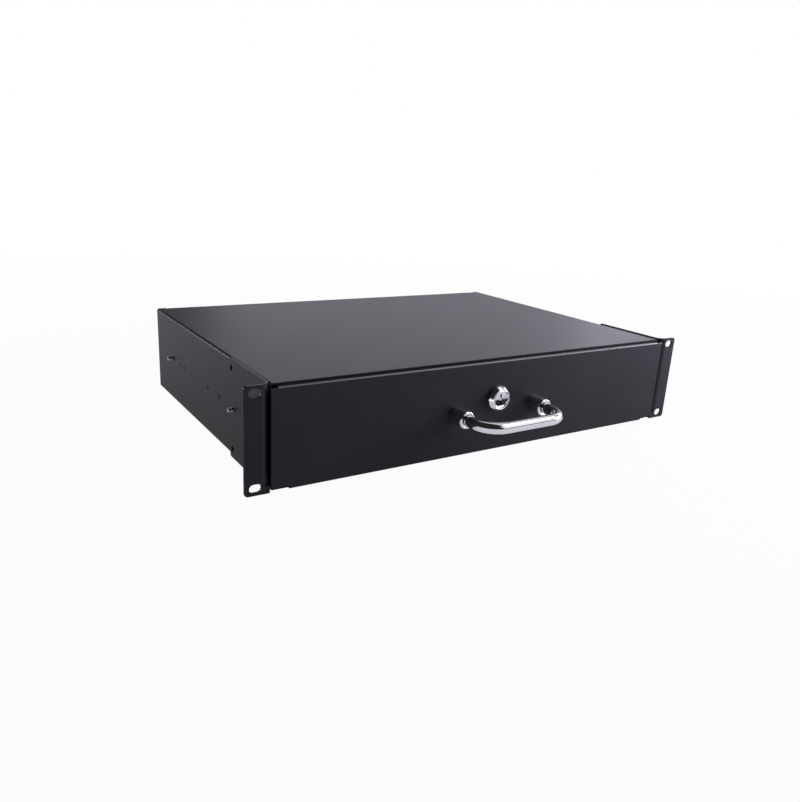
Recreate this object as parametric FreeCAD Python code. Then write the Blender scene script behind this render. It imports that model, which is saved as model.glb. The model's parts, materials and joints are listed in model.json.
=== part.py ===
import FreeCAD, Part
import math
import os

# Two-unit lockable sliding drawer for a 19-inch equipment rack, in millimetres.
# X runs to the right, Y to the rear and Z up.  The origin is the centre of the four rack slots,
# on the rear faces of the ears, which seat against the rack's rails.

# --- rack panel ---
panel_width = 482.6
panel_height = 88.1
slot_edge = 8.75
slot_span_z = 76.2
slot_length = 10.0
slot_width = 7.0

# --- ears ---
ear_flange = 22.3
ear_sheet = 2.0
ear_bend = 7.0
ear_depth = 84.0
ear_corner = 3.0
ear_hole_d = 5.0
ear_hole_y = 78.5
ear_hole_z = 36.0
ear_tab_height = 6.5
ear_tab_width = 7.4

# --- case ---
case_drop = 0.95
case_front_y = 2.0
case_rear_y = 310.0
case_sheet = 1.2
case_bend = 1.3
case_flange = 16.0
corner_relief = 9.0
relief_gap = 0.4
floor_sheet = 1.0
floor_setback = 12.0

# --- slides ---
drawer_travel = 280.0
slide_overlap = 20.0
slide_height = 45.4
slide_thickness = 12.7
slide_sheet = 1.2
slide_bend = 0.7
slide_front_gap = 3.0
slide_lip = 2.2
slide_outer_depth = 7.6
slide_rail_gap = 0.5
slide_inner_gap = 0.9
slide_window_length = 18.0
slide_window_height = 8.0
slide_window_end = 30.0
ball_d = 3.6
ball_play = 0.2
ball_lip_gap = 0.1
balls_per_row = 3
retainer_length = 140.0
retainer_sheet = 0.5
retainer_bend = 0.3
retainer_gap = 0.4
pocket_play = 0.3
spare_holes_y = (56.5, 115.0, 146.0, 218.0, 231.5)
spare_hole_d = 3.4
slide_screw_d = 4.0
slide_screw_head_d = 6.6
slide_screw_front_y = 76.5
slide_screw_rear_y = 260.0
slide_screw_proud = 4.2
hole_play = 0.3
cut_margin = 1.0
contact = 0.01

# --- drawer front ---
front_overhang = 1.0
front_sheet = 1.2
front_bend = 0.9
front_proud = 1.0
front_top_gap = 0.6
front_floor_gap = 0.4
front_top_flange = 9.0
front_bottom_flange = 4.2
front_top_relief = 6.0
front_bottom_relief = 16.0
front_notch_edge = 2.0
front_notch_height = 3.2

# --- tray ---
tray_sheet = 1.2
tray_bend = 1.2
tray_hem = 8.0
tray_floor_gap = 1.2
tray_height = 66.5
tray_rear_gap = 10.8

# --- handle ---
handle_span = 90.0
handle_rod_d = 10.0
handle_reach = 44.5
handle_bend = 20.0
handle_bend_steps = 5
handle_z = -4.0
ferrule_d = 16.0
ferrule_length = 16.0
ferrule_recess_d = 12.6
ferrule_recess = 2.5
ferrule_edge = 1.2
handle_screw_d = 5.0
handle_screw_reach = 12.0
handle_screw_clearance = 2.0
handle_screw_across = 8.0
handle_screw_head = 3.5

# --- lock ---
lock_z = 6.5
bezel_d = 24.0
bezel_rim = 1.6
bezel_length = 6.2
bezel_nose_d = 18.7
plug_setback = 0.4
plug_face_d = 16.6
plug_face_depth = 2.4
barrel_d = 18.8
barrel_flat = 16.2
barrel_length = 18.0
plug_d = 12.6
plug_play = 0.05
plug_edge = 0.4
plug_tail = 7.0
plug_tail_play = 0.1
keyway_width = 1.6
keyway_height = 9.0
keyway_depth = 6.0
nut_across = 24.0
nut_height = 4.0
cam_sheet = 2.0
cam_width = 14.0
cam_reach = 31.0
cam_gap = 0.4
cam_corner = 2.5
cam_screw_d = 4.0
cam_screw_reach = 6.0
cam_screw_clearance = 2.0
cam_screw_play = 0.05
cam_screw_across = 10.0
cam_screw_head = 2.6
strike_sheet = 1.2
strike_bend = 1.0
strike_width = 44.0
strike_gap = 1.0
strike_flange = 16.0
strike_tip_z = 29.0

# --- values that follow ---
half_panel = panel_height / 2
base_z = -half_panel
slot_span_x = panel_width - 2 * slot_edge
case_top_z = half_panel - case_drop
case_width = panel_width - 2 * ear_flange
case_half = case_width / 2
case_inner = case_half - case_sheet
ear_front_y = -ear_sheet
face_y = ear_front_y - front_proud
plate_rear_y = face_y + front_sheet
front_bottom_z = base_z + front_floor_gap
front_top_z = case_top_z - case_sheet - front_top_gap
floor_top_z = base_z + case_sheet + floor_sheet
tray_bottom_z = floor_top_z + tray_floor_gap
tray_top_z = tray_bottom_z + tray_height
tray_half = case_inner - slide_thickness
tray_rear_y = case_rear_y - case_sheet - tray_rear_gap
tray_wall_y = plate_rear_y + tray_sheet
front_width = case_width + 2 * front_overhang
slide_front_y = case_front_y + slide_front_gap
slide_length = drawer_travel + slide_overlap
barrel_end_y = plate_rear_y + barrel_length
cam_y = barrel_end_y + cam_gap
cam_seat_y = cam_y + cam_sheet
strike_y = cam_y - strike_gap


# --- helpers ---
def in_xz(a, b, c=0.0):
    return FreeCAD.Vector(a, c, b)


def in_yz(a, b, c=0.0):
    return FreeCAD.Vector(c, a, b)


def in_xy(a, b, c=0.0):
    return FreeCAD.Vector(a, b, c)


def box(x0, x1, y0, y1, z0, z1):
    return Part.makeBox(x1 - x0, y1 - y0, z1 - z0, FreeCAD.Vector(x0, y0, z0))


def rod(x, y, z, axis, diameter, length):
    return Part.makeCylinder(diameter / 2, length, FreeCAD.Vector(x, y, z), FreeCAD.Vector(*axis))


def mirror_x(shape):
    return shape.mirror(FreeCAD.Vector(0, 0, 0), FreeCAD.Vector(1, 0, 0))


def rounded_edges(points, radius, place, creased):
    """Lines through the points, with an arc of the radius, or a flat crease, at each inner point."""
    edges = []
    start = points[0]
    for i in range(1, len(points) - 1):
        before, corner, after = points[i - 1], points[i], points[i + 1]
        back = (before[0] - corner[0], before[1] - corner[1])
        ahead = (after[0] - corner[0], after[1] - corner[1])
        back_len = math.hypot(*back)
        ahead_len = math.hypot(*ahead)
        back = (back[0] / back_len, back[1] / back_len)
        ahead = (ahead[0] / ahead_len, ahead[1] / ahead_len)
        half = math.acos(back[0] * ahead[0] + back[1] * ahead[1]) / 2
        setback = radius / math.tan(half)
        enter = (corner[0] + back[0] * setback, corner[1] + back[1] * setback)
        leave = (corner[0] + ahead[0] * setback, corner[1] + ahead[1] * setback)
        middle = (back[0] + ahead[0], back[1] + ahead[1])
        middle_len = math.hypot(*middle)
        reach = radius / math.sin(half) - radius
        top = (corner[0] + middle[0] / middle_len * reach, corner[1] + middle[1] / middle_len * reach)
        edges.append(Part.makeLine(place(*start), place(*enter)))
        if creased:
            edges.append(Part.makeLine(place(*enter), place(*leave)))
        else:
            edges.append(Part.Arc(place(*enter), place(*top), place(*leave)).toShape())
        start = leave
    edges.append(Part.makeLine(place(*start), place(*points[-1])))
    return edges


def bent_sheet(points, thickness, bend, place, low, high, creased=False):
    """A folded sheet: the points follow its outer face, and the metal lies to their left."""
    normals = []
    for a, b in zip(points, points[1:]):
        length = math.hypot(b[0] - a[0], b[1] - a[1])
        normals.append((-(b[1] - a[1]) / length, (b[0] - a[0]) / length))
    inner = [(points[0][0] + normals[0][0] * thickness, points[0][1] + normals[0][1] * thickness)]
    for i in range(1, len(points) - 1):
        n0, n1 = normals[i - 1], normals[i]
        scale = thickness / (1 + n0[0] * n1[0] + n0[1] * n1[1])
        inner.append((points[i][0] + (n0[0] + n1[0]) * scale, points[i][1] + (n0[1] + n1[1]) * scale))
    inner.append((points[-1][0] + normals[-1][0] * thickness, points[-1][1] + normals[-1][1] * thickness))
    edges = rounded_edges(points, bend + thickness, place, creased)
    edges += rounded_edges(inner, bend, place, creased)
    edges.append(Part.makeLine(place(*points[0]), place(*inner[0])))
    edges.append(Part.makeLine(place(*points[-1]), place(*inner[-1])))
    face = Part.Face(Part.Wire(Part.__sortEdges__(edges)))
    face.translate(place(0, 0, low) - place(0, 0, 0))
    return face.extrude(place(0, 0, high) - place(0, 0, low))


def hex_prism(x, y, z, across, length):
    corner = across / math.sqrt(3)
    points = []
    for i in range(7):
        turn = math.radians(60 * i)
        points.append(FreeCAD.Vector(x + corner * math.cos(turn), y, z + corner * math.sin(turn)))
    return Part.Face(Part.makePolygon(points)).extrude(FreeCAD.Vector(0, length, 0))


def revolve_y(points, x, z):
    """A turned part: (radius, y) points spun about the line through x and z along Y."""
    outline = [FreeCAD.Vector(x + r, y, z) for r, y in points]
    outline.append(outline[0])
    face = Part.Face(Part.makePolygon(outline))
    return face.revolve(FreeCAD.Vector(x, 0, z), FreeCAD.Vector(0, 1, 0), 360)


def save(name, shape):
    shape = shape.removeSplitter()
    if not shape.isValid():
        raise ValueError(name + " is not a valid solid")
    shape.exportStep("parts/" + name + ".step")


# --- case: folded shell, floor, ears ---
def side_hole(y, z, diameter):
    """A cutter through the left ear, case side and slide."""
    reach = ear_sheet + cut_margin
    return rod(-case_half - reach, y, z, (1, 0, 0), diameter, reach + slide_thickness)


def slide_screw_holes():
    diameter = slide_screw_d + hole_play
    return [side_hole(slide_screw_front_y, 0, diameter), side_hole(slide_screw_rear_y, 0, diameter)]


def case_shell():
    inner_end = case_half - case_flange
    hoop = [
        (inner_end, base_z), (case_half, base_z), (case_half, case_top_z),
        (-case_half, case_top_z), (-case_half, base_z), (-inner_end, base_z),
    ]
    shell = bent_sheet(hoop, case_sheet, case_bend, in_xz, case_front_y, case_rear_y)
    outer_bend = case_bend + case_sheet
    mouth = case_half - corner_relief
    shell = shell.cut(box(-mouth, mouth, case_rear_y - outer_bend, case_rear_y + cut_margin,
                          case_top_z - outer_bend, case_top_z + cut_margin))
    rear = [
        (case_rear_y - case_flange, base_z), (case_rear_y, base_z),
        (case_rear_y, case_top_z), (case_rear_y - case_flange, case_top_z),
    ]
    wall = case_inner - relief_gap
    panel = bent_sheet(rear, case_sheet, case_bend, in_yz, -wall, wall)
    flange_y = case_rear_y - case_flange - cut_margin
    past_y = case_rear_y + cut_margin
    past_wall = wall + cut_margin
    top_corner = box(mouth - relief_gap, past_wall, flange_y, past_y,
                     case_top_z - outer_bend - relief_gap, case_top_z + cut_margin)
    bottom_corner = box(inner_end - relief_gap, past_wall, flange_y, past_y,
                        base_z - cut_margin, base_z + outer_bend)
    for corner in (top_corner, bottom_corner):
        panel = panel.cut(corner).cut(mirror_x(corner))
    shell = shell.fuse(panel)
    for hole in slide_screw_holes() + [side_hole(y, 0, spare_hole_d) for y in spare_holes_y]:
        shell = shell.cut(hole)
        shell = shell.cut(mirror_x(hole))
    return shell


def case_floor():
    half = case_inner - relief_gap - case_bend
    rear_y = case_rear_y - case_sheet - relief_gap - case_bend
    return box(-half, half, case_front_y + floor_setback, rear_y, base_z + case_sheet, floor_top_z)


def rack_slots():
    """The two slots of the left ear."""
    straight = (slot_length - slot_width) / 2
    centre_x = -slot_span_x / 2
    front = ear_front_y - cut_margin
    depth = ear_sheet + 2 * cut_margin
    slots = []
    for z in (-slot_span_z / 2, slot_span_z / 2):
        slot = box(centre_x - straight, centre_x + straight, front, front + depth,
                   z - slot_width / 2, z + slot_width / 2)
        for x in (centre_x - straight, centre_x + straight):
            slot = slot.fuse(rod(x, front, z, (0, 1, 0), slot_width, depth))
        slots.append(slot.removeSplitter())
    return slots


def outer_corners(bracket):
    """The thin edges at the four free corners of the ear."""
    found = []
    for edge in bracket.Edges:
        bound = edge.BoundBox
        on_rack_side = bound.XMax < -panel_width / 2 + contact and bound.YLength > ear_sheet - contact
        at_top_or_bottom = abs(abs(bound.Center.z) - half_panel) < contact
        at_rear = bound.YMin > ear_depth - contact and bound.XLength > ear_sheet - contact
        if (on_rack_side or at_rear) and at_top_or_bottom:
            found.append(edge)
    return found


def ear():
    """The left ear: slotted rack flange, folded back along the case side."""
    path = [(-panel_width / 2, ear_front_y), (-case_half, ear_front_y), (-case_half, ear_depth)]
    bracket = bent_sheet(path, ear_sheet, ear_bend, in_xy, -half_panel, half_panel)
    tab_x = -case_half - ear_sheet - ear_bend
    tab = box(tab_x - cut_margin, tab_x + ear_tab_width, ear_front_y, 0, base_z, base_z + ear_tab_height)
    bracket = bracket.fuse(tab)
    bracket = bracket.makeFillet(ear_corner, outer_corners(bracket))
    holes = [side_hole(ear_hole_y, z, ear_hole_d) for z in (-ear_hole_z, ear_hole_z)]
    for cutter in rack_slots() + holes + slide_screw_holes()[:1]:
        bracket = bracket.cut(cutter)
    return bracket


# --- slides: three nested members a side, with two ball retainers between them ---
wall_x = -case_inner
ball_face = ball_d / 2 * 0.9
half_slide = slide_height / 2
member_step = ball_d + 2 * ball_play + slide_sheet
middle_half = half_slide - member_step
inner_half = middle_half - member_step
retainer_room = slide_sheet + 2 * retainer_gap + retainer_sheet
middle_end = slide_thickness - slide_sheet - slide_rail_gap
inner_end_u = 2 * retainer_room + slide_inner_gap
outer_ball_u = slide_outer_depth - slide_sheet - ball_d / 2 - ball_lip_gap
inner_ball_u = middle_end - slide_sheet - ball_d / 2 - retainer_bend
slide_rear_y = slide_front_y + slide_length
outer_row_w = half_slide - slide_sheet - ball_play - ball_d / 2
inner_row_w = middle_half - slide_sheet - ball_play - ball_d / 2
retainer_y = slide_front_y + (slide_length - retainer_length) / 2


def from_wall(u, w, c=0.0):
    return FreeCAD.Vector(wall_x + u, c, w)


def slide_section(path):
    return bent_sheet(path, slide_sheet, slide_bend, from_wall, slide_front_y, slide_rear_y, creased=True)


def slide_outer():
    member = slide_section([
        (slide_outer_depth, half_slide - slide_lip), (slide_outer_depth, half_slide), (0, half_slide),
        (0, -half_slide), (slide_outer_depth, -half_slide), (slide_outer_depth, -half_slide + slide_lip),
    ])
    narrow = (slide_screw_d + hole_play) / 2
    wide = (slide_screw_head_d + hole_play) / 2
    for y in (slide_screw_front_y, slide_screw_rear_y):
        sink = Part.makeCone(narrow, wide, slide_sheet, from_wall(0, 0, y), FreeCAD.Vector(1, 0, 0))
        member = member.cut(sink)
    return member


def slide_middle():
    member = slide_section([
        (middle_end, middle_half - slide_lip), (middle_end, middle_half), (retainer_room, middle_half),
        (retainer_room, -middle_half), (middle_end, -middle_half), (middle_end, -middle_half + slide_lip),
    ])
    low_x = wall_x + retainer_room - cut_margin
    high_x = wall_x + retainer_room + slide_sheet + cut_margin
    half = slide_window_height / 2
    for y in (slide_front_y + slide_window_end, slide_rear_y - slide_window_end):
        window = box(low_x, high_x, y - slide_window_length / 2, y + slide_window_length / 2, -half, half)
        member = member.cut(window)
    return member


def slide_inner():
    return slide_section([
        (inner_end_u, -inner_half), (slide_thickness, -inner_half),
        (slide_thickness, inner_half), (inner_end_u, inner_half),
    ])


def ball_places(row_w, ball_u):
    pitch = retainer_length / balls_per_row
    places = []
    for i in range(balls_per_row):
        for w in (-row_w, row_w):
            places.append(from_wall(ball_u, w, retainer_y + pitch * (i + 0.5)))
    return places


def retainer(web_u, row_w, ball_u):
    """A thin strip channel with a row of ball pockets along each side."""
    half = row_w + retainer_sheet / 2
    end = ball_u + ball_d / 2 - retainer_bend
    path = [(end, half), (web_u, half), (web_u, -half), (end, -half)]
    strip = bent_sheet(path, retainer_sheet, retainer_bend, from_wall,
                       retainer_y, retainer_y + retainer_length, creased=True)
    reach = (ball_d + pocket_play) / 2
    for place in ball_places(row_w, ball_u):
        strip = strip.cut(box(place.x - reach, place.x + reach, place.y - reach, place.y + reach,
                              place.z - retainer_sheet, place.z + retainer_sheet))
    return strip


def balls(row_w, ball_u):
    """Bearing balls with few faces: a cube with its edges and corners planed off three times."""
    cube = box(-ball_face, ball_face, -ball_face, ball_face, -ball_face, ball_face)
    ball = cube
    for axis in ((1, 0, 0), (0, 1, 0), (0, 0, 1)):
        turned = cube.copy()
        turned.rotate(FreeCAD.Vector(0, 0, 0), FreeCAD.Vector(*axis), 45)
        ball = ball.common(turned)
    return Part.makeCompound([ball.translated(place) for place in ball_places(row_w, ball_u)])


def slide_screws():
    """Flat-head screws from inside each outer member, their ends proud of the case side."""
    screws = []
    for y, clamped in ((slide_screw_front_y, ear_sheet + case_sheet), (slide_screw_rear_y, case_sheet)):
        seat = from_wall(slide_sheet, 0, y)
        length = slide_sheet + clamped + slide_screw_proud
        shank = rod(seat.x, y, 0, (-1, 0, 0), slide_screw_d, length)
        head = Part.makeCone(slide_screw_head_d / 2, slide_screw_d / 2, slide_sheet,
                             seat, FreeCAD.Vector(-1, 0, 0))
        screws.append(shank.fuse(head))
    screws += [mirror_x(s) for s in screws]
    return Part.makeCompound(screws)


# --- drawer: front, tray and their fasteners ---
def lock_cutout(y0, y1):
    hole = rod(0, y0, lock_z, (0, 1, 0), barrel_d + hole_play, y1 - y0)
    flat = (barrel_flat + hole_play) / 2
    return hole.common(box(-barrel_d, barrel_d, y0, y1, lock_z - flat, lock_z + flat))


def handle_holes(y0, y1):
    return [rod(x, y0, handle_z, (0, 1, 0), handle_screw_d + hole_play, y1 - y0)
            for x in (-handle_span / 2, handle_span / 2)]


def drawer_front():
    path = [
        (face_y + front_top_flange, front_top_z), (face_y, front_top_z),
        (face_y, front_bottom_z), (face_y + front_bottom_flange, front_bottom_z),
    ]
    half = front_width / 2
    front = bent_sheet(path, front_sheet, front_bend, in_yz, -half, half)
    outer = front_bend + front_sheet
    top_end = half - front_top_relief
    bottom_end = half - front_bottom_relief
    before = face_y - cut_margin
    behind = face_y + front_top_flange + cut_margin
    below = front_bottom_z - cut_margin
    above = front_top_z + cut_margin
    past = half + cut_margin
    relief = box(top_end, past, plate_rear_y, behind, front_top_z - outer, above)
    corner = box(top_end, past, before, behind, front_top_z - outer / 2, above)
    notch_edge = half - front_notch_edge
    notch = box(bottom_end, notch_edge, before, behind, below, front_bottom_z + front_notch_height)
    flange_end = box(notch_edge, past, before, behind, below, front_bottom_z + outer)
    for cutter in (relief, corner, notch, flange_end):
        front = front.cut(cutter)
        front = front.cut(mirror_x(cutter))
    through = plate_rear_y + cut_margin
    for cutter in [lock_cutout(before, through)] + handle_holes(before, through):
        front = front.cut(cutter)
    return front


def drawer_tray():
    """One folded blank: floor, four walls, and an inward hem along the sides and rear."""
    outer = tray_bend + tray_sheet
    hem = tray_half - tray_hem
    cradle = [
        (-hem, tray_top_z), (-tray_half, tray_top_z), (-tray_half, tray_bottom_z),
        (tray_half, tray_bottom_z), (tray_half, tray_top_z), (hem, tray_top_z),
    ]
    tray = bent_sheet(cradle, tray_sheet, tray_bend, in_xz, plate_rear_y, tray_rear_y)
    wall = tray_half - tray_sheet - relief_gap
    below = tray_bottom_z - cut_margin
    above = tray_top_z + cut_margin
    before = plate_rear_y - cut_margin
    for y0, y1 in ((before, plate_rear_y + outer), (tray_rear_y - outer, tray_rear_y + cut_margin)):
        tray = tray.cut(box(-wall, wall, y0, y1, below, tray_bottom_z + outer))
        tray = tray.cut(box(-wall, wall, y0, y1, tray_top_z - outer, above))
    lengthways = [
        (plate_rear_y, tray_top_z), (plate_rear_y, tray_bottom_z), (tray_rear_y, tray_bottom_z),
        (tray_rear_y, tray_top_z), (tray_rear_y - tray_hem, tray_top_z),
    ]
    strip = bent_sheet(lengthways, tray_sheet, tray_bend, in_yz, -wall, wall)
    hem_front_y = tray_rear_y - tray_hem - cut_margin
    hem_z = tray_top_z - outer
    corner = box(hem - relief_gap, wall + cut_margin, hem_front_y, tray_rear_y - outer, hem_z, above)
    tray = tray.fuse(strip.cut(corner).cut(mirror_x(corner)))
    through = tray_wall_y + cut_margin
    for cutter in [lock_cutout(before, through)] + handle_holes(before, through):
        tray = tray.cut(cutter)
    return tray


# --- handle ---
def handle_bar():
    """A round bar bent into a U, each bend turned in short mitred steps."""
    half = handle_span / 2
    grip_x = half - handle_bend
    corner_y = face_y - handle_reach + handle_bend
    right_leg = []
    for i in range(handle_bend_steps + 1):
        turn = math.radians(90) * i / handle_bend_steps
        right_leg.append((grip_x + handle_bend * math.sin(turn), corner_y - handle_bend * math.cos(turn)))
    right_leg.append((half, face_y))
    left_leg = [(-x, y) for x, y in reversed(right_leg)]
    path = Part.makePolygon([in_xy(x, y) for x, y in left_leg + right_leg])
    circle = Part.makeCircle(handle_rod_d / 2, in_xy(-half, face_y), FreeCAD.Vector(0, 1, 0))
    mitred = 1
    bar = path.makePipeShell([Part.Wire(circle)], True, False, mitred)
    bar.translate(FreeCAD.Vector(0, 0, handle_z))
    depth = handle_screw_reach + handle_screw_clearance
    for hole in handle_holes(face_y - depth, face_y):
        bar = bar.cut(hole)
    return bar


def handle_ferrules():
    """A turned collar on each leg, hollowed round the bar at its front."""
    bore = handle_rod_d / 2
    rim = ferrule_d / 2
    recess = ferrule_recess_d / 2
    tip_y = face_y - ferrule_length
    collar = revolve_y([
        (bore, face_y), (rim, face_y), (rim, tip_y + ferrule_edge), (rim - ferrule_edge, tip_y),
        (recess, tip_y), (recess, tip_y + ferrule_recess), (bore, tip_y + ferrule_recess),
    ], -handle_span / 2, handle_z)
    return Part.makeCompound([collar, mirror_x(collar)])


def handle_screws():
    """Hex-head screws from inside the tray wall into each leg of the handle."""
    screws = []
    for x in (-handle_span / 2, handle_span / 2):
        tip_y = face_y - handle_screw_reach
        shank = rod(x, tip_y, handle_z, (0, 1, 0), handle_screw_d, tray_wall_y - tip_y)
        head = hex_prism(x, tray_wall_y, handle_z, handle_screw_across, handle_screw_head)
        screws.append(shank.fuse(head))
    return Part.makeCompound(screws)


# --- lock ---
def lock_housing():
    """The tapered bezel on the panel and the flatted barrel through it, bored for the plug."""
    bore = plug_d / 2 + plug_play
    rim = bezel_d / 2
    nose = face_y - bezel_length
    barrel = barrel_d / 2
    seat = plug_face_d / 2 + plug_play
    seat_y = nose + plug_setback + plug_face_depth + plug_play
    body = revolve_y([
        (seat, nose), (bezel_nose_d / 2, nose), (rim, face_y - bezel_rim), (rim, face_y),
        (barrel, face_y), (barrel, barrel_end_y), (bore, barrel_end_y), (bore, seat_y), (seat, seat_y),
    ], 0, lock_z)
    flat = box(-barrel_d, barrel_d, face_y, barrel_end_y + cut_margin, barrel_flat / 2, barrel_d)
    for side in (flat, flat.mirror(FreeCAD.Vector(0, 0, 0), FreeCAD.Vector(0, 0, 1))):
        body = body.cut(side.translated(FreeCAD.Vector(0, 0, lock_z)))
    return body


def keyway(nose):
    """A slot with one ward on each side."""
    step = keyway_width / 2
    half = keyway_height / 2
    outline = [
        (-step, half), (step, half), (step, half * 0.35), (step * 2.2, half * 0.1), (step, -half * 0.2),
        (step, -half), (-step, -half), (-step, -half * 0.55), (-step * 2.0, -half * 0.3), (-step, 0),
    ]
    corners = [FreeCAD.Vector(x, nose - cut_margin, lock_z + z) for x, z in outline]
    corners.append(corners[0])
    return Part.Face(Part.makePolygon(corners)).extrude(FreeCAD.Vector(0, keyway_depth + cut_margin, 0))


def lock_plug():
    nose = face_y - bezel_length + plug_setback
    radius = plug_d / 2
    rim = plug_face_d / 2
    neck_y = nose + plug_face_depth
    plug = revolve_y([
        (0, nose), (rim - plug_edge, nose), (rim, nose + plug_edge), (rim, neck_y), (radius, neck_y),
        (radius, cam_y), (0, cam_y),
    ], 0, lock_z)
    half = plug_tail / 2
    plug = plug.fuse(box(-half, half, cam_y, cam_seat_y, lock_z - half, lock_z + half))
    depth = cam_screw_reach + cam_screw_clearance
    return plug.cut(keyway(nose)).cut(rod(0, cam_seat_y - depth, lock_z, (0, 1, 0), cam_screw_d, depth))


def lock_nut():
    nut = hex_prism(0, tray_wall_y, lock_z, nut_across, nut_height)
    return nut.cut(lock_cutout(tray_wall_y - cut_margin, tray_wall_y + nut_height + cut_margin))


def lock_cam():
    """The flat arm that swings up behind the strike; it points left when unlocked."""
    half = cam_width / 2
    arm = box(-cam_reach, 0, cam_y, cam_seat_y, lock_z - half, lock_z + half)
    ends = [e for e in arm.Edges if e.BoundBox.XMax < -cam_reach + contact and e.BoundBox.YLength > contact]
    arm = arm.makeFillet(cam_corner, ends).fuse(rod(0, cam_y, lock_z, (0, 1, 0), cam_width, cam_sheet))
    hole = plug_tail / 2 + plug_tail_play
    through = box(-hole, hole, cam_y - cut_margin, cam_seat_y + cut_margin, lock_z - hole, lock_z + hole)
    return arm.cut(through)


def cam_screw():
    diameter = cam_screw_d - 2 * cam_screw_play
    shank = rod(0, cam_seat_y - cam_screw_reach, lock_z, (0, 1, 0), diameter, cam_screw_reach)
    return shank.fuse(hex_prism(0, cam_seat_y, lock_z, cam_screw_across, cam_screw_head))


def strike_plate():
    """An angle under the case top, which the cam catches behind."""
    ceiling = case_top_z - case_sheet
    front_y = strike_y - strike_sheet
    path = [(front_y + strike_flange, ceiling), (front_y, ceiling), (front_y, strike_tip_z)]
    return bent_sheet(path, strike_sheet, strike_bend, in_yz, -strike_width / 2, strike_width / 2)


# --- build every piece ---
def build():
    os.makedirs("parts", exist_ok=True)
    save("case_shell", case_shell())
    save("case_floor", case_floor())
    left_ear = ear()
    save("ear_left", left_ear)
    save("ear_right", mirror_x(left_ear))
    save("strike_plate", strike_plate())
    save("slide_screws", slide_screws())
    pairs = {
        "slide_outer": slide_outer(),
        "slide_middle": slide_middle(),
        "slide_inner": slide_inner(),
        "outer_retainer": retainer(slide_sheet + retainer_gap, outer_row_w, outer_ball_u),
        "outer_balls": balls(outer_row_w, outer_ball_u),
        "inner_retainer": retainer(retainer_room + slide_sheet + retainer_gap, inner_row_w, inner_ball_u),
        "inner_balls": balls(inner_row_w, inner_ball_u),
    }
    for name, shape in pairs.items():
        save(name + "_left", shape)
        save(name + "_right", mirror_x(shape))
    save("drawer_front", drawer_front())
    save("drawer_tray", drawer_tray())
    save("handle_bar", handle_bar())
    save("handle_ferrules", handle_ferrules())
    save("handle_screws", handle_screws())
    save("lock_housing", lock_housing())
    save("lock_nut", lock_nut())
    save("lock_plug", lock_plug())
    save("lock_cam", lock_cam())
    save("cam_screw", cam_screw())


build()
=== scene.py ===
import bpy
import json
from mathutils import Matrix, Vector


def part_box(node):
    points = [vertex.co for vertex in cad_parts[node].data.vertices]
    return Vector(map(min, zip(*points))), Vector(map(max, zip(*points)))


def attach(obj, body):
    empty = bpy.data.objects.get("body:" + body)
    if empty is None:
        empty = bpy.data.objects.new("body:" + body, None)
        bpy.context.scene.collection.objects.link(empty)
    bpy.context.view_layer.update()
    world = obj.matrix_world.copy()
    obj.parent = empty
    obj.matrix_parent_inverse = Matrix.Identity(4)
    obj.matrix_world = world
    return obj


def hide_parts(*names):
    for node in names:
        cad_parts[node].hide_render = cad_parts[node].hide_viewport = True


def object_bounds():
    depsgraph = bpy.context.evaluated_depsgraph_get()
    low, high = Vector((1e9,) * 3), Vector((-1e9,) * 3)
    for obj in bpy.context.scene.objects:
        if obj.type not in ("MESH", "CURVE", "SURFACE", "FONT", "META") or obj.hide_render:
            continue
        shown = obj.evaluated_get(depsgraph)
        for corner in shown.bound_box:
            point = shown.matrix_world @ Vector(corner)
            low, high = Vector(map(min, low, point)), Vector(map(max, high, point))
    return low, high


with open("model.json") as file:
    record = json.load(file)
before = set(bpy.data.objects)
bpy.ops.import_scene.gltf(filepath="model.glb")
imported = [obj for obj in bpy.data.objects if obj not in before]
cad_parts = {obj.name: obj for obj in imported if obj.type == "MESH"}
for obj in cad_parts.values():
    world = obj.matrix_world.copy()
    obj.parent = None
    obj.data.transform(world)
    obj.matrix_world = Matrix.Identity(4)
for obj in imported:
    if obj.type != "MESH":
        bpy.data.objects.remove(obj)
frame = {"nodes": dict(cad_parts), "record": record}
cadBox = [list(corner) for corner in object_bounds()]

import json
import math

import bmesh
import bpy
from mathutils import Matrix, Vector

# Dressing for a lockable rack drawer.  Metres, same frame as the solids: X right, Y to the rear, Z up.

mm = 0.001
touch = 0.01 * mm              # two places closer than this count as one


# small helpers
def nodeMiddle(name):
    low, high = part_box(name)
    return (low + high) / 2


def addObject(name, mesh, material):
    piece = bpy.data.objects.new(name, mesh)
    bpy.context.scene.collection.objects.link(piece)
    if material:
        mesh.materials.clear()
        mesh.materials.append(material)
    return piece


def smooth(mesh, angle=35):
    for polygon in mesh.polygons:
        polygon.use_smooth = True
    mesh.set_sharp_from_angle(angle=math.radians(angle))


def latheMesh(name, outline, centre, segments=96):
    shape = bmesh.new()
    rings = []
    for radius, y in outline:
        if radius < 1e-7:
            rings.append([shape.verts.new((centre.x, y, centre.z))])
            continue
        ring = []
        for i in range(segments):
            turn = 2 * math.pi * i / segments
            x = centre.x + radius * math.cos(turn)
            z = centre.z + radius * math.sin(turn)
            ring.append(shape.verts.new((x, y, z)))
        rings.append(ring)
    pairs = list(zip(rings, rings[1:]))
    if len(rings[0]) > 1 and len(rings[-1]) > 1:
        pairs.append((rings[-1], rings[0]))
    for near, far in pairs:
        for i in range(segments):
            j = (i + 1) % segments
            if len(near) == 1:
                shape.faces.new((near[0], far[j], far[i]))
            elif len(far) == 1:
                shape.faces.new((near[i], near[j], far[0]))
            else:
                shape.faces.new((near[i], near[j], far[j], far[i]))
    bmesh.ops.recalc_face_normals(shape, faces=shape.faces)
    mesh = bpy.data.meshes.new(name)
    shape.to_mesh(mesh)
    shape.free()
    return mesh


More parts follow.
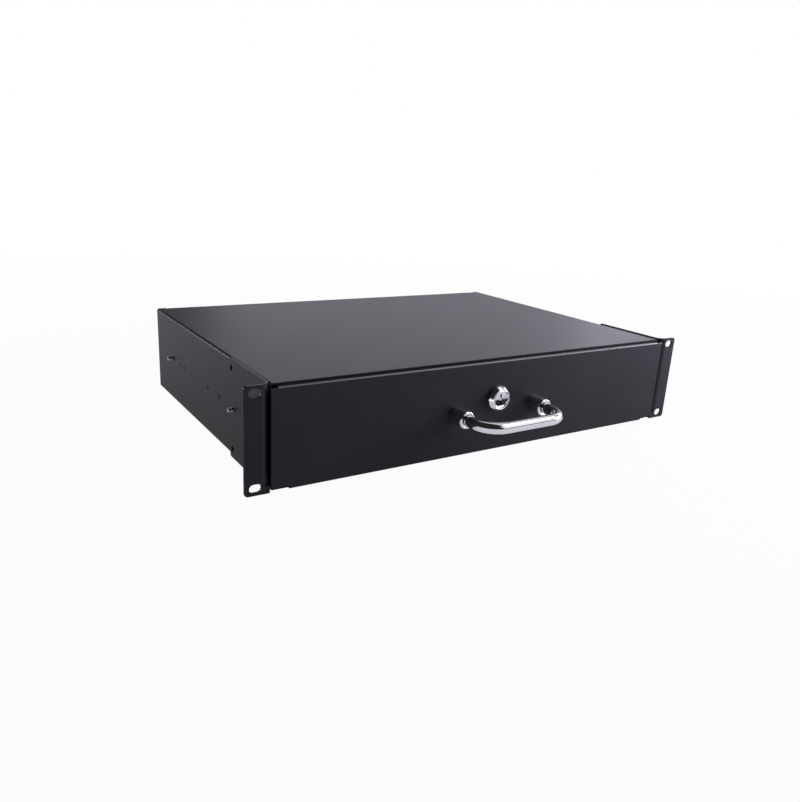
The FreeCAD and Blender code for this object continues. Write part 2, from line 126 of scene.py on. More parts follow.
def softened(outline, radius, steps=4):
    result = [outline[0]]
    for before, corner, after in zip(outline, outline[1:], outline[2:]):
        c = Vector(corner)
        a = Vector(before) - c
        b = Vector(after) - c
        reach = min(radius, a.length * 0.45, b.length * 0.45)
        start = c + a.normalized() * reach
        end = c + b.normalized() * reach
        for i in range(steps + 1):
            t = i / steps
            point = start * (1 - t) ** 2 + c * 2 * t * (1 - t) + end * t ** 2
            result.append((point.x, point.y))
    result.append(outline[-1])
    return result


# materials
def newMaterial(name):
    material = bpy.data.materials.new(name)
    material.use_nodes = True
    tree = material.node_tree
    shader = tree.nodes["Principled BSDF"]
    place = tree.nodes.new("ShaderNodeTexCoord")
    return material, tree, shader, place


def noise(tree, place, scale, detail=4.0, roughness=0.55, stretch=None):
    texture = tree.nodes.new("ShaderNodeTexNoise")
    texture.inputs["Scale"].default_value = scale
    texture.inputs["Detail"].default_value = detail
    texture.inputs["Roughness"].default_value = roughness
    source = place.outputs["Object"]
    if stretch:
        mapping = tree.nodes.new("ShaderNodeMapping")
        mapping.inputs["Scale"].default_value = stretch
        tree.links.new(source, mapping.inputs["Vector"])
        source = mapping.outputs["Vector"]
    tree.links.new(source, texture.inputs["Vector"])
    return texture.outputs["Fac"]


def spread(tree, value, low, high, fromLow=0.3, fromHigh=0.7):
    remap = tree.nodes.new("ShaderNodeMapRange")
    remap.inputs["From Min"].default_value = fromLow
    remap.inputs["From Max"].default_value = fromHigh
    remap.inputs["To Min"].default_value = low
    remap.inputs["To Max"].default_value = high
    tree.links.new(value, remap.inputs["Value"])
    return remap.outputs["Result"]


def blendColours(tree, value, first, second):
    ramp = tree.nodes.new("ShaderNodeValToRGB")
    ramp.color_ramp.elements[0].position = 0.3
    ramp.color_ramp.elements[0].color = (*first, 1)
    ramp.color_ramp.elements[1].position = 0.7
    ramp.color_ramp.elements[1].color = (*second, 1)
    tree.links.new(value, ramp.inputs["Fac"])
    return ramp.outputs["Color"]


def addBump(tree, shader, height, distance, strength=1.0, before=None):
    bump = tree.nodes.new("ShaderNodeBump")
    bump.inputs["Distance"].default_value = distance
    bump.inputs["Strength"].default_value = strength
    tree.links.new(height, bump.inputs["Height"])
    if before:
        tree.links.new(before, bump.inputs["Normal"])
    tree.links.new(bump.outputs["Normal"], shader.inputs["Normal"])
    return bump.outputs["Normal"]


powderCoat = {
    "dark": (0.015, 0.015, 0.018),
    "light": (0.021, 0.020, 0.025),
    "roughLow": 0.38,
    "roughHigh": 0.47,
    "grainScale": 1400.0,      # grains a metre: about 0.7 mm apart
    "grainHeight": 0.00003,
    "orangePeelScale": 220.0,
    "orangePeelHeight": 0.00006,
    "gloss": 0.2,
    "glossTint": (0.90, 0.88, 1.0, 1),
    "foldGloss": 1.0,          # the coat is drawn smooth over the folds; the folds also carry a painted highlight
    # painted highlight: a lighter base colour laid along the folds, where light catches them
    "foldHighlightColour": (0.070, 0.069, 0.076),
    "foldStart": -0.30,        # the slope, Y times Z of the facing, where the painted fold highlight begins to show
    "foldFull": -0.48,
    "cloudScale": 14.0,
}


# 0 on flat faces, 1 halfway round a fold that runs across the front: where the painted highlight and the
# extra gloss go
def foldHighlightShare(tree):
    facing = tree.nodes.new("ShaderNodeTexCoord")
    parts = tree.nodes.new("ShaderNodeSeparateXYZ")
    tree.links.new(facing.outputs["Normal"], parts.inputs["Vector"])
    both = tree.nodes.new("ShaderNodeMath")
    both.operation = "MULTIPLY"
    tree.links.new(parts.outputs["Y"], both.inputs[0])
    tree.links.new(parts.outputs["Z"], both.inputs[1])
    share = tree.nodes.new("ShaderNodeMapRange")
    share.inputs["From Min"].default_value = powderCoat["foldStart"]
    share.inputs["From Max"].default_value = powderCoat["foldFull"]
    tree.links.new(both.outputs[0], share.inputs["Value"])
    return share.outputs["Result"]


def makePowderCoat():
    values = powderCoat
    material, tree, shader, place = newMaterial("blackPowderCoat")
    cloud = noise(tree, place, values["cloudScale"], 3.0)
    grain = noise(tree, place, values["grainScale"], 2.0, 0.6)
    peel = noise(tree, place, values["orangePeelScale"], 2.0)
    colour = blendColours(tree, cloud, values["dark"], values["light"])
    fold = foldHighlightShare(tree)
    # painted highlight: the base colour is lifted towards the lighter colour halfway round the folds
    paintedFoldHighlight = tree.nodes.new("ShaderNodeMix")
    paintedFoldHighlight.data_type = "RGBA"
    paintedFoldHighlight.inputs["B"].default_value = (*values["foldHighlightColour"], 1)
    tree.links.new(fold, paintedFoldHighlight.inputs["Factor"])
    tree.links.new(colour, paintedFoldHighlight.inputs["A"])
    tree.links.new(paintedFoldHighlight.outputs["Result"], shader.inputs["Base Color"])
    roughness = spread(tree, grain, values["roughLow"], values["roughHigh"])
    tree.links.new(roughness, shader.inputs["Roughness"])
    gloss = spread(tree, fold, values["gloss"], values["foldGloss"])
    tree.links.new(gloss, shader.inputs["Specular IOR Level"])
    shader.inputs["Specular Tint"].default_value = values["glossTint"]
    first = addBump(tree, shader, peel, values["orangePeelHeight"])
    addBump(tree, shader, grain, values["grainHeight"], before=first)
    return material


chrome = {
    "dark": (0.84, 0.84, 0.86),
    "light": (0.90, 0.90, 0.92),
    "roughLow": 0.035,
    "roughHigh": 0.07,
    "rippleScale": 90.0,
    "rippleHeight": 0.00001,
}


def makeMetal(name, values, grainStretch=None, grainScale=60.0):
    material, tree, shader, place = newMaterial(name)
    cloud = noise(tree, place, grainScale, 4.0, 0.6, grainStretch)
    ripple = noise(tree, place, values["rippleScale"], 2.0)
    tree.links.new(blendColours(tree, cloud, values["dark"], values["light"]), shader.inputs["Base Color"])
    tree.links.new(spread(tree, cloud, values["roughLow"], values["roughHigh"]), shader.inputs["Roughness"])
    shader.inputs["Metallic"].default_value = 1.0
    addBump(tree, shader, ripple, values["rippleHeight"])
    return material


zincPlate = {
    "dark": (0.50, 0.52, 0.55),
    "light": (0.66, 0.67, 0.69),
    "roughLow": 0.22,
    "roughHigh": 0.36,
    "rippleScale": 400.0,
    "rippleHeight": 0.00002,
}

springStrip = {
    "dark": (0.42, 0.43, 0.45),
    "light": (0.55, 0.56, 0.58),
    "roughLow": 0.28,
    "roughHigh": 0.42,
    "rippleScale": 500.0,
    "rippleHeight": 0.00002,
}

bearingSteel = {
    "dark": (0.66, 0.67, 0.69),
    "light": (0.74, 0.75, 0.77),
    "roughLow": 0.05,
    "roughHigh": 0.12,
    "rippleScale": 900.0,
    "rippleHeight": 0.000005,
}

materials = {
    "coat": makePowderCoat(),
    "handleChrome": makeMetal("handleChrome", chrome),
    "lockChrome": makeMetal("lockChrome", chrome, grainScale=140.0),
    "plugChrome": makeMetal("plugChrome", chrome, grainScale=180.0),
    "slideZinc": makeMetal("slideZinc", zincPlate, (40, 1, 40), 90.0),
    "retainerStrip": makeMetal("retainerStrip", springStrip, (40, 1, 40), 90.0),
    "bearingSteel": makeMetal("bearingSteel", bearingSteel),
    "lockZinc": makeMetal("lockZinc", zincPlate, grainScale=160.0),
    "screwZinc": makeMetal("screwZinc", zincPlate, grainScale=300.0),
}
print("materials made")


# solids: finishes
finishes = {
    "black_powder_coat": "coat",
    "polished_chrome": "handleChrome",
    "lock_chrome": "lockChrome",
    "zinc_slide": "slideZinc",
    "retainer_strip": "retainerStrip",
    "ball_steel": "bearingSteel",
    "zinc_lock_parts": "lockZinc",
    "zinc_fastener": "screwZinc",
}


def dressSolids():
    for part in frame["record"]["subparts"]:
        solid = frame["nodes"][part["node"]]
        solid.data.materials.clear()
        solid.data.materials.append(materials[finishes[part["material_slot"]]])


dressSolids()
print("solids dressed")


# geometry node helpers
def newNodeTree(name, sizes):
    tree = bpy.data.node_groups.new(name, "GeometryNodeTree")
    tree.interface.new_socket("Geometry", in_out="OUTPUT", socket_type="NodeSocketGeometry")
    for label in sizes:
        tree.interface.new_socket(label, in_out="INPUT", socket_type="NodeSocketFloat")
    given = tree.nodes.new("NodeGroupInput")
    result = tree.nodes.new("NodeGroupOutput")
    return tree, given, result


def finishTree(tree, result, source, material):
    realize = tree.nodes.new("GeometryNodeRealizeInstances")
    paint = tree.nodes.new("GeometryNodeSetMaterial")
    paint.inputs["Material"].default_value = material
    tree.links.new(source, realize.inputs["Geometry"])
    tree.links.new(realize.outputs["Geometry"], paint.inputs["Geometry"])
    tree.links.new(paint.outputs["Geometry"], result.inputs["Geometry"])


def scaled(tree, socket, factor):
    product = tree.nodes.new("ShaderNodeMath")
    product.operation = "MULTIPLY"
    product.inputs[1].default_value = factor
    tree.links.new(socket, product.inputs[0])
    return product.outputs[0]


def movedUp(tree, geometry, height, share):
    shift = tree.nodes.new("ShaderNodeCombineXYZ")
    tree.links.new(scaled(tree, height, share), shift.inputs["Z"])
    move = tree.nodes.new("GeometryNodeTransform")
    tree.links.new(geometry, move.inputs["Geometry"])
    tree.links.new(shift.outputs["Vector"], move.inputs["Translation"])
    return move.outputs["Geometry"]


def growMesh(name, tree, sizes):
    carrier = bpy.data.objects.new(name + "Carrier", bpy.data.meshes.new(name + "Seed"))
    bpy.context.scene.collection.objects.link(carrier)
    modifier = carrier.modifiers.new("grow", "NODES")
    modifier.node_group = tree
    for item in tree.interface.items_tree:
        if item.in_out == "INPUT":
            modifier[item.identifier] = sizes[item.name]
    ready = carrier.evaluated_get(bpy.context.evaluated_depsgraph_get())
    mesh = bpy.data.meshes.new_from_object(ready)
    mesh.name = name
    carrier.modifiers.remove(modifier)
    bpy.data.objects.remove(carrier)
    return mesh


def joinMeshes(name, meshes):
    shape = bmesh.new()
    for mesh in meshes:
        shape.from_mesh(mesh)
    joined = bpy.data.meshes.new(name)
    shape.to_mesh(joined)
    shape.free()
    return joined


# handle: bar swept along a U, and two turned collars
barLow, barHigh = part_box("handle_bar")
collarLow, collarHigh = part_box("handle_ferrules")

handleSizes = {
    "rod": barHigh.z - barLow.z,
    "bend": 20.0 * mm,         # radius to the middle of the bar
    "bendSteps": 20,
    "rodSteps": 48,
    "collarEdge": 1.2 * mm,
    "collarRound": 0.45 * mm,
    "recess": 2.5 * mm,
    "recessWall": 1.7 * mm,
}


def makeHandleBar():
    rod = handleSizes["rod"]
    sizes = {
        "Half Span": (barHigh.x - barLow.x - rod) / 2,
        "Grip Y": barLow.y + rod / 2,
        "Foot Y": barHigh.y,
        "Height": (barLow.z + barHigh.z) / 2,
        "Bend": handleSizes["bend"],
        "Rod Radius": rod / 2,
    }
    tree, given, result = newNodeTree("handleBarTree", sizes)
    negative = scaled(tree, given.outputs["Half Span"], -1)
    corners = []
    for across, along in (("left", "Foot Y"), ("left", "Grip Y"), ("right", "Grip Y"), ("right", "Foot Y")):
        corner = tree.nodes.new("ShaderNodeCombineXYZ")
        side = negative if across == "left" else given.outputs["Half Span"]
        tree.links.new(side, corner.inputs["X"])
        tree.links.new(given.outputs[along], corner.inputs["Y"])
        tree.links.new(given.outputs["Height"], corner.inputs["Z"])
        corners.append(corner.outputs["Vector"])
    path = tree.nodes.new("GeometryNodeCurvePrimitiveQuadrilateral")
    path.mode = "POINTS"
    for i, corner in enumerate(corners):
        tree.links.new(corner, path.inputs["Point " + str(i + 1)])
    openEnds = tree.nodes.new("GeometryNodeSetSplineCyclic")
    openEnds.inputs["Cyclic"].default_value = False
    tree.links.new(path.outputs["Curve"], openEnds.inputs["Geometry"])
    rounded = tree.nodes.new("GeometryNodeFilletCurve")
    rounded.inputs["Limit Radius"].default_value = True
    rounded.mode = "POLY"
    rounded.inputs["Count"].default_value = handleSizes["bendSteps"]
    tree.links.new(openEnds.outputs["Geometry"], rounded.inputs["Curve"])
    tree.links.new(given.outputs["Bend"], rounded.inputs["Radius"])
    section = tree.nodes.new("GeometryNodeCurvePrimitiveCircle")
    section.inputs["Resolution"].default_value = handleSizes["rodSteps"]
    tree.links.new(given.outputs["Rod Radius"], section.inputs["Radius"])
    sweep = tree.nodes.new("GeometryNodeCurveToMesh")
    sweep.inputs["Fill Caps"].default_value = True
    tree.links.new(rounded.outputs["Curve"], sweep.inputs["Curve"])
    tree.links.new(section.outputs["Curve"], sweep.inputs["Profile Curve"])
    finishTree(tree, result, sweep.outputs["Mesh"], materials["handleChrome"])
    mesh = growMesh("handleBar", tree, sizes)
    smooth(mesh, 50)
    bar = addObject("handleBar", mesh, materials["handleChrome"])
    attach(bar, "drawer")
    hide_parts("handle_bar")


def makeHandleCollars():
    rod = handleSizes["rod"]
    radius = (collarHigh.z - collarLow.z) / 2
    edge = handleSizes["collarEdge"]
    recessRadius = radius - handleSizes["recessWall"]
    footY = collarHigh.y
    tipY = collarLow.y
    recessY = tipY + handleSizes["recess"]
    outline = [
        (rod / 2, footY), (radius, footY), (radius, tipY + edge), (radius - edge * 0.5, tipY),
        (recessRadius, tipY), (recessRadius, recessY), (rod / 2, recessY),
    ]
    meshes = []
    for x in (collarLow.x + radius, collarHigh.x - radius):
        centre = Vector((x, 0, (collarLow.z + collarHigh.z) / 2))
        meshes.append(latheMesh("collar", softened(outline, handleSizes["collarRound"]), centre))
    mesh = joinMeshes("handleCollars", meshes)
    smooth(mesh, 40)
    collars = addObject("handleCollars", mesh, materials["handleChrome"])
    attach(collars, "drawer")
    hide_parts("handle_ferrules")


makeHandleBar()
makeHandleCollars()
print("handle made")


# lock: tapered bezel with its flatted barrel, and the dished plug with a keyway
housingLow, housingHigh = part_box("lock_housing")
plugLow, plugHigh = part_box("lock_plug")

lockSizes = {
    "footRadius": 11.0 * mm,
    "round": 0.35 * mm,
    "mouthEdge": 0.3 * mm,
    "rimRadius": 11.8 * mm,
    "rim": 2.5 * mm,           # from the panel to the widest line of the bezel
    "noseRadius": 9.35 * mm,
    "barrelRadius": 9.4 * mm,
    "barrelFlat": 8.1 * mm,    # half the width across the flats
    "faceRadius": 8.3 * mm,
    "faceDepth": 2.4 * mm,
    "faceEdge": 0.25 * mm,
    "faceMargin": 0.7 * mm,    # flat ring left round the hollow
    "neckRadius": 6.3 * mm,
    "play": 0.05 * mm,
    "dish": 1.55 * mm,         # hollow of the plug's face, deepest on its level middle line
    "dishAbove": 4,            # how suddenly the hollow ends, upwards and downwards
    "dishBelow": 1,
    "tail": 3.5 * mm,          # half the square end that carries the cam
    "tailLength": 2.0 * mm,
    "keyHalf": 5.0 * mm,
    "keyStep": 1.15 * mm,
    "keyDepth": 6.0 * mm,
    "keyLead": 2.0 * mm,       # how far the cutter stands out in front
}


def makeLockBezel():
    sizes = lockSizes
    centre = nodeMiddle("lock_housing")
    nose = housingLow.y
    faceY = collarHigh.y
    seat = sizes["faceRadius"] + sizes["play"]
    bore = sizes["neckRadius"] + sizes["play"]
    seatY = plugLow.y + sizes["faceDepth"] + sizes["play"]
    edge = sizes["mouthEdge"]
    outline = [
        (seat, seatY), (seat, nose + edge), (seat + edge, nose), (sizes["noseRadius"], nose),
        (sizes["rimRadius"], faceY - sizes["rim"]), (sizes["footRadius"], faceY - sizes["rim"] * 0.5),
        (sizes["footRadius"], faceY), (sizes["barrelRadius"], faceY),
        (sizes["barrelRadius"], housingHigh.y), (bore, housingHigh.y), (bore, seatY),
    ]
    rounded = softened(outline[:7], sizes["round"]) + outline[7:]
    mesh = latheMesh("lockBezel", rounded, centre, 128)
    flat = sizes["barrelFlat"]
    for vertex in mesh.vertices:
        if vertex.co.y > faceY + touch:
            vertex.co.z = min(max(vertex.co.z, centre.z - flat), centre.z + flat)
    smooth(mesh, 30)
    bezel = addObject("lockBezel", mesh, materials["lockChrome"])
    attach(bezel, "drawer")
    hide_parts("lock_housing")


def makeKeyway(centre, nose):
    half = lockSizes["keyHalf"]
    step = lockSizes["keyStep"]
    outline = [
        (-step, half), (-step, 0), (-step * 2.0, -half * 0.3), (-step, -half * 0.55), (-step, -half),
        (step, -half), (step, -half * 0.2), (step * 2.2, half * 0.1), (step, half * 0.35), (step, half),
    ]
    shape = bmesh.new()
    ends = []
    for y in (nose - lockSizes["keyLead"], nose + lockSizes["keyDepth"]):
        ends.append([shape.verts.new((centre.x + x, y, centre.z + z)) for x, z in outline])
    shape.faces.new(ends[0])
    shape.faces.new(list(reversed(ends[1])))
    for i in range(len(outline)):
        j = (i + 1) % len(outline)
        shape.faces.new((ends[0][j], ends[0][i], ends[1][i], ends[1][j]))
    bmesh.ops.recalc_face_normals(shape, faces=shape.faces)
    mesh = bpy.data.meshes.new("keyway")
    shape.to_mesh(mesh)
    shape.free()
    return addObject("keyway", mesh, None)


def makeLockPlug():
    sizes = lockSizes
    centre = Vector((0, 0, nodeMiddle("lock_housing").z))
    nose = plugLow.y
    face = sizes["faceRadius"]
    tailY = plugHigh.y - sizes["tailLength"]
    edge = sizes["faceEdge"]
    flatRadius = face - sizes["faceMargin"]
    outline = [(flatRadius * i / 24, nose) for i in range(25)]
    outline += [
        (face - edge, nose), (face, nose + edge), (face, nose + sizes["faceDepth"]),
        (sizes["neckRadius"], nose + sizes["faceDepth"]), (sizes["neckRadius"], tailY), (0, tailY),
    ]
    turnedFace = latheMesh("lockPlug", outline, centre, 96)
    for vertex in turnedFace.vertices:
        across = vertex.co.x - centre.x
        height = vertex.co.z - centre.z
        if vertex.co.y < nose + touch and math.hypot(across, height) < flatRadius - touch:
            share = abs(height) / flatRadius
            steepness = sizes["dishAbove"] if height > 0 else sizes["dishBelow"]
            vertex.co.y += sizes["dish"] * (1 - share ** steepness)
    plug = addObject("lockPlug", turnedFace, None)
    tail = bmesh.new()
    bmesh.ops.create_cube(tail, size=1)
    size = (2 * sizes["tail"], sizes["tailLength"], 2 * sizes["tail"])
    bmesh.ops.scale(tail, vec=size, verts=tail.verts)
    bmesh.ops.translate(tail, vec=(centre.x, tailY + sizes["tailLength"] / 2, centre.z), verts=tail.verts)
    tailMesh = bpy.data.meshes.new("plugTail")
    tail.to_mesh(tailMesh)
    tail.free()
    keyway = makeKeyway(centre, nose)
    cut = plug.modifiers.new("cut", "BOOLEAN")
    cut.operation = "DIFFERENCE"
    cut.solver = "EXACT"
    cut.object = keyway
    ready = plug.evaluated_get(bpy.context.evaluated_depsgraph_get())
    turned = bpy.data.meshes.new_from_object(ready)
    bpy.data.objects.remove(plug)
    bpy.data.objects.remove(keyway)
    mesh = joinMeshes("lockPlug", [turned, tailMesh])
    smooth(mesh, 25)
    piece = addObject("lockPlug", mesh, materials["plugChrome"])
    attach(piece, "lock_plug")
    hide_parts("lock_plug")


makeLockBezel()
makeLockPlug()
print("lock made")


# slide screws: threaded ends proud of the case side, countersunk heads inside the slides
screwLow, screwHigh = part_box("slide_screws")

screwSizes = {
    "radius": 2.0 * mm,
    "headRadius": 3.3 * mm,
    "headDepth": 1.2 * mm,
    "pitch": 0.7 * mm,
    "ridge": 0.3 * mm,
    "frontLength": 8.6 * mm,
    "rearLength": 6.6 * mm,
}


def makeScrewPair(name, length, tipX, y):
    sizes = {
        "Length": length,
        "Tip X": tipX,
        "Y": y,
        "Height": (screwLow.z + screwHigh.z) / 2,
        "Core Radius": screwSizes["radius"] - screwSizes["ridge"],
        "Ridge": screwSizes["ridge"],
        "Turns": (length - screwSizes["headDepth"]) / screwSizes["pitch"],
        "Thread Length": length - screwSizes["headDepth"],
        "Head Radius": screwSizes["headRadius"],
        "Head Depth": screwSizes["headDepth"],
    }
    tree, given, result = newNodeTree(name + "Tree", sizes)
    core = tree.nodes.new("GeometryNodeMeshCylinder")
    core.inputs["Vertices"].default_value = 24
    tree.links.new(given.outputs["Core Radius"], core.inputs["Radius"])
    tree.links.new(given.outputs["Length"], core.inputs["Depth"])
    coreShift = movedUp(tree, core.outputs["Mesh"], given.outputs["Length"], 0.5)
    spiral = tree.nodes.new("GeometryNodeCurveSpiral")
    spiral.inputs["Resolution"].default_value = 24
    tree.links.new(given.outputs["Turns"], spiral.inputs["Rotations"])
    tree.links.new(given.outputs["Core Radius"], spiral.inputs["Start Radius"])
    tree.links.new(given.outputs["Core Radius"], spiral.inputs["End Radius"])
    tree.links.new(given.outputs["Thread Length"], spiral.inputs["Height"])
    wedge = tree.nodes.new("GeometryNodeCurvePrimitiveCircle")
    wedge.inputs["Resolution"].default_value = 4
    tree.links.new(given.outputs["Ridge"], wedge.inputs["Radius"])
    thread = tree.nodes.new("GeometryNodeCurveToMesh")
    thread.inputs["Fill Caps"].default_value = True
    tree.links.new(spiral.outputs["Curve"], thread.inputs["Curve"])
    tree.links.new(wedge.outputs["Curve"], thread.inputs["Profile Curve"])
    head = tree.nodes.new("GeometryNodeMeshCone")
    head.inputs["Vertices"].default_value = 32
    tree.links.new(given.outputs["Core Radius"], head.inputs["Radius Bottom"])
    tree.links.new(given.outputs["Head Radius"], head.inputs["Radius Top"])
    tree.links.new(given.outputs["Head Depth"], head.inputs["Depth"])
    headShift = movedUp(tree, head.outputs["Mesh"], given.outputs["Thread Length"], 1.0)
    screw = tree.nodes.new("GeometryNodeJoinGeometry")
    for part in (coreShift, thread.outputs["Mesh"], headShift):
        tree.links.new(part, screw.inputs["Geometry"])
    lying = tree.nodes.new("GeometryNodeTransform")
    lying.inputs["Rotation"].default_value = (0, math.radians(90), 0)
    tree.links.new(screw.outputs["Geometry"], lying.inputs["Geometry"])
    pair = tree.nodes.new("GeometryNodeJoinGeometry")
    for side, turn in ((-1, 0), (1, 180)):
        across = scaled(tree, given.outputs["Tip X"], side)
        place = tree.nodes.new("ShaderNodeCombineXYZ")
        tree.links.new(across, place.inputs["X"])
        tree.links.new(given.outputs["Y"], place.inputs["Y"])
        tree.links.new(given.outputs["Height"], place.inputs["Z"])
        point = tree.nodes.new("GeometryNodePoints")
        tree.links.new(place.outputs["Vector"], point.inputs["Position"])
        put = tree.nodes.new("GeometryNodeInstanceOnPoints")
        put.inputs["Rotation"].default_value = (0, 0, math.radians(turn))
        tree.links.new(point.outputs["Points"], put.inputs["Points"])
        tree.links.new(lying.outputs["Geometry"], put.inputs["Instance"])
        tree.links.new(put.outputs["Instances"], pair.inputs["Geometry"])
    finishTree(tree, result, pair.outputs["Geometry"], materials["screwZinc"])
    return growMesh(name, tree, sizes)


def makeSlideScrews():
    reach = screwHigh.x
    step = screwSizes["frontLength"] - screwSizes["rearLength"]
    frontY = screwLow.y + screwSizes["headRadius"]
    rearY = screwHigh.y - screwSizes["headRadius"]
    mesh = joinMeshes("slideScrews", [
        makeScrewPair("frontScrews", screwSizes["frontLength"], reach, frontY),
        makeScrewPair("rearScrews", screwSizes["rearLength"], reach - step, rearY),
    ])
    smooth(mesh, 40)
    screws = addObject("slideScrews", mesh, materials["screwZinc"])
    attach(screws, "case")
    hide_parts("slide_screws")


makeSlideScrews()
print("slide screws made")


# bearing balls: two rows in each retainer
ballSizes = {
    "radius": 1.8 * mm,
    "edge": 1.62 * mm,         # half the width of the plain solid that stands for a ball
    "perRow": 3,
}


def makeBallRows(node, body):
    low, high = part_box(node)
    edge = ballSizes["edge"]
    sizes = {
        "Ball Radius": ballSizes["radius"],
        "Across": (low.x + high.x) / 2,
        "First Y": low.y + edge,
        "Step": (high.y - low.y - 2 * edge) / (ballSizes["perRow"] - 1),
        "Count": float(ballSizes["perRow"]),
        "Row Height": (high.z - low.z) / 2 - edge,
        "Middle Height": (high.z + low.z) / 2,
    }
    tree, given, result = newNodeTree(node + "Tree", sizes)
    ball = tree.nodes.new("GeometryNodeMeshUVSphere")
    ball.inputs["Segments"].default_value = 24
    ball.inputs["Rings"].default_value = 14
    tree.links.new(given.outputs["Ball Radius"], ball.inputs["Radius"])
    step = tree.nodes.new("ShaderNodeCombineXYZ")
    tree.links.new(given.outputs["Step"], step.inputs["Y"])
    rows = tree.nodes.new("GeometryNodeJoinGeometry")
    for side in (-1, 1):
        height = tree.nodes.new("ShaderNodeMath")
        height.operation = "ADD"
        tree.links.new(scaled(tree, given.outputs["Row Height"], side), height.inputs[0])
        tree.links.new(given.outputs["Middle Height"], height.inputs[1])
        first = tree.nodes.new("ShaderNodeCombineXYZ")
        tree.links.new(given.outputs["Across"], first.inputs["X"])
        tree.links.new(given.outputs["First Y"], first.inputs["Y"])
        tree.links.new(height.outputs[0], first.inputs["Z"])
        row = tree.nodes.new("GeometryNodeMeshLine")
        row.mode = "OFFSET"
        tree.links.new(given.outputs["Count"], row.inputs["Count"])
        tree.links.new(first.outputs["Vector"], row.inputs["Start Location"])
        tree.links.new(step.outputs["Vector"], row.inputs["Offset"])
        tree.links.new(row.outputs["Mesh"], rows.inputs["Geometry"])
    put = tree.nodes.new("GeometryNodeInstanceOnPoints")
    tree.links.new(rows.outputs["Geometry"], put.inputs["Points"])
    tree.links.new(ball.outputs["Mesh"], put.inputs["Instance"])
    finishTree(tree, result, put.outputs["Instances"], materials["bearingSteel"])
    name = node.replace("_", "-") + "-round"
    mesh = growMesh(name, tree, sizes)
    smooth(mesh, 60)
    balls = addObject(name, mesh, materials["bearingSteel"])
    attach(balls, body)
    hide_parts(node)


for side in ("left", "right"):
    for level in ("outer", "inner"):
        makeBallRows(level + "_balls_" + side, level + "_retainer_" + side)
print("bearing balls made")


# stage, lamps and camera
floorZ = cadBox[0][2]

studio = {
    "floorSize": 30.0,
    "floorColour": (0.60, 0.595, 0.70, 1),
    "cameraShade": 0.04,       # share of the floor's own shading that the camera sees
    "shadeFade": (0.45, 1.5),  # that share dies away between these distances from the middle
    "mirrorShade": 0.6,        # the same in reflections
    "surround": (0.92, 0.93, 0.95, 1),
    "surroundLevel": 0.02,
}


def makeFloor():
    half = studio["floorSize"] / 2
    mesh = bpy.data.meshes.new("studioFloor")
    corners = [(-half, -half, floorZ), (half, -half, floorZ), (half, half, floorZ), (-half, half, floorZ)]
    mesh.from_pydata(corners, [], [(0, 1, 2, 3)])
    material = bpy.data.materials.new("floorPaper")
    material.use_nodes = True
    tree = material.node_tree
    tree.nodes.clear()
    matte = tree.nodes.new("ShaderNodeBsdfDiffuse")
    matte.inputs["Color"].default_value = studio["floorColour"]
    white = tree.nodes.new("ShaderNodeEmission")
    white.inputs["Strength"].default_value = 1.0
    rays = tree.nodes.new("ShaderNodeLightPath")
    mirrored = tree.nodes.new("ShaderNodeMath")
    mirrored.operation = "MAXIMUM"
    tree.links.new(rays.outputs["Is Glossy Ray"], mirrored.inputs[0])
    tree.links.new(rays.outputs["Is Transmission Ray"], mirrored.inputs[1])
    share = tree.nodes.new("ShaderNodeMath")
    share.operation = "MULTIPLY_ADD"
    share.inputs[1].default_value = 1 - studio["mirrorShade"]
    tree.links.new(mirrored.outputs[0], share.inputs[0])
    place = tree.nodes.new("ShaderNodeTexCoord")
    distance = tree.nodes.new("ShaderNodeVectorMath")
    distance.operation = "LENGTH"
    tree.links.new(place.outputs["Object"], distance.inputs[0])
    plainWhite = spread(tree, distance.outputs["Value"], 1 - studio["cameraShade"], 1, *studio["shadeFade"])
    direct = tree.nodes.new("ShaderNodeMath")
    direct.operation = "MULTIPLY"
    tree.links.new(rays.outputs["Is Camera Ray"], direct.inputs[0])
    tree.links.new(plainWhite, direct.inputs[1])
    tree.links.new(direct.outputs[0], share.inputs[2])
    mix = tree.nodes.new("ShaderNodeMixShader")
    tree.links.new(share.outputs[0], mix.inputs["Fac"])
    tree.links.new(matte.outputs["BSDF"], mix.inputs[1])
    tree.links.new(white.outputs["Emission"], mix.inputs[2])
    output = tree.nodes.new("ShaderNodeOutputMaterial")
    tree.links.new(mix.outputs["Shader"], output.inputs["Surface"])
    floor = addObject("studioFloor", mesh, material)


def makeWorld():
    world = bpy.data.worlds.new("studioWorld")
    bpy.context.scene.world = world
    world.use_nodes = True
    tree = world.node_tree
    tree.nodes.clear()
    light = tree.nodes.new("ShaderNodeBackground")
    light.inputs["Color"].default_value = studio["surround"]
    light.inputs["Strength"].default_value = studio["surroundLevel"]
    white = tree.nodes.new("ShaderNodeBackground")
    white.inputs["Color"].default_value = (1, 1, 1, 1)
    white.inputs["Strength"].default_value = 1.0
    rays = tree.nodes.new("ShaderNodeLightPath")
    mix = tree.nodes.new("ShaderNodeMixShader")
    tree.links.new(rays.outputs["Is Camera Ray"], mix.inputs["Fac"])
    tree.links.new(light.outputs["Background"], mix.inputs[1])
    tree.links.new(white.outputs["Background"], mix.inputs[2])
    output = tree.nodes.new("ShaderNodeOutputWorld")
    tree.links.new(mix.outputs["Shader"], output.inputs["Surface"])


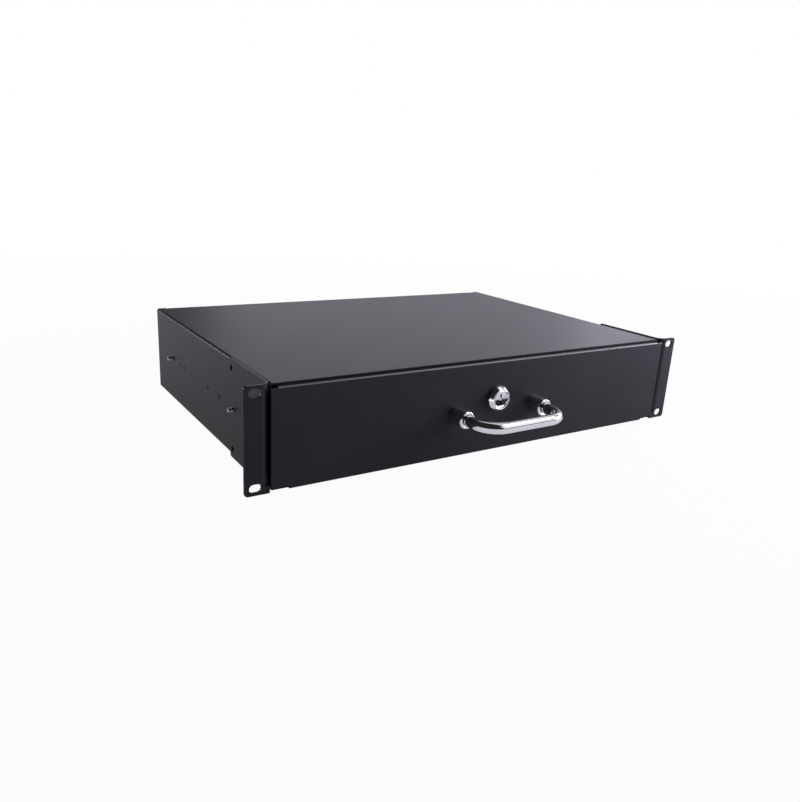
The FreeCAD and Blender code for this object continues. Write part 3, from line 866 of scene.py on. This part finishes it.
cool = (0.90, 0.885, 1.0)
plain = (0.95, 0.94, 1.0)
blue = (0.86, 0.84, 1.0)
lamps = {
    "backRight": {
        "at": (1.25, 1.9, 0.75), "aim": (0, 0.15, 0),
        "size": (1.8, 1.0), "power": 8.2, "colour": cool,
    },
    "backLeft": {
        "at": (0.0, 2.2, 0.75), "aim": (0, 0.15, 0),
        "size": (1.4, 1.0), "power": 0.7, "colour": cool,
    },
    "farRight": {
        "at": (2.1, 1.2, 0.8), "aim": (0, 0.1, 0),
        "size": (1.0, 1.0), "power": 6.3, "colour": cool,
    },
    "leftLow": {
        "at": (-0.95, 1.15, 0.22), "aim": (-0.22, 0.25, 0),
        "size": (0.5, 0.3), "power": 6.0, "colour": blue,
    },
    "rightSide": {
        "at": (1.9, -0.1, 0.55), "aim": (0, 0, 0),
        "size": (1.3, 0.9), "power": 6.0, "colour": plain,
    },
    "nearRight": {
        "at": (0.95, -0.4, 0.3), "aim": (0.15, 0, 0),
        "size": (0.4, 0.4), "power": 9.5, "colour": plain,
    },
    "handleBox": {
        "at": (0.85, -1.35, 0.92), "aim": (0, 0, 0),
        "size": (1.5, 1.38), "power": 6.5, "colour": plain,
    },
    "roofBox": {
        "at": (1.2, 0.4, 1.4), "aim": (1.2, 0.4, 0),
        "size": (1.9, 2.0), "power": 7.0, "colour": plain,
    },
    "edgeBox": {
        "at": (0.8, -0.45, 1.2), "aim": (0.1, 0, 0),
        "size": (0.7, 0.7), "power": 4.5, "colour": plain,
    },
}


def makeLamps():
    for name, values in lamps.items():
        data = bpy.data.lights.new(name, "AREA")
        data.shape = "RECTANGLE"
        data.size, data.size_y = values["size"]
        data.energy = values["power"]
        data.color = values["colour"]
        lamp = bpy.data.objects.new(name, data)
        lamp.visible_camera = False
        bpy.context.scene.collection.objects.link(lamp)
        lamp.location = values["at"]
        towards = Vector(values["aim"]) - Vector(values["at"])
        lamp.rotation_euler = towards.to_track_quat("-Z", "Y").to_euler()


view = {
    "at": (-0.42580, -0.48876, 0.20025),
    "heading": 33.382,         # degrees that the view turns from straight in to the right
    "tilt": 17.508,            # degrees down
    "roll": 3.181,
    "lens": 33.01,
}


def makeCamera():
    data = bpy.data.cameras.new("viewCamera")
    data.sensor_width = 36
    data.lens = view["lens"]
    data.clip_start = 0.01
    camera = bpy.data.objects.new("viewCamera", data)
    bpy.context.scene.collection.objects.link(camera)
    turn = Matrix.Rotation(-math.radians(view["heading"]), 4, "Z")
    pitch = Matrix.Rotation(math.radians(90 - view["tilt"]), 4, "X")
    roll = Matrix.Rotation(math.radians(view["roll"]), 4, "Z")
    camera.matrix_world = Matrix.Translation(view["at"]) @ turn @ pitch @ roll
    bpy.context.scene.camera = camera


makeFloor()
makeWorld()
makeLamps()
makeCamera()
bpy.context.scene.view_settings.view_transform = "Standard"
print("stage, lamps and camera set")
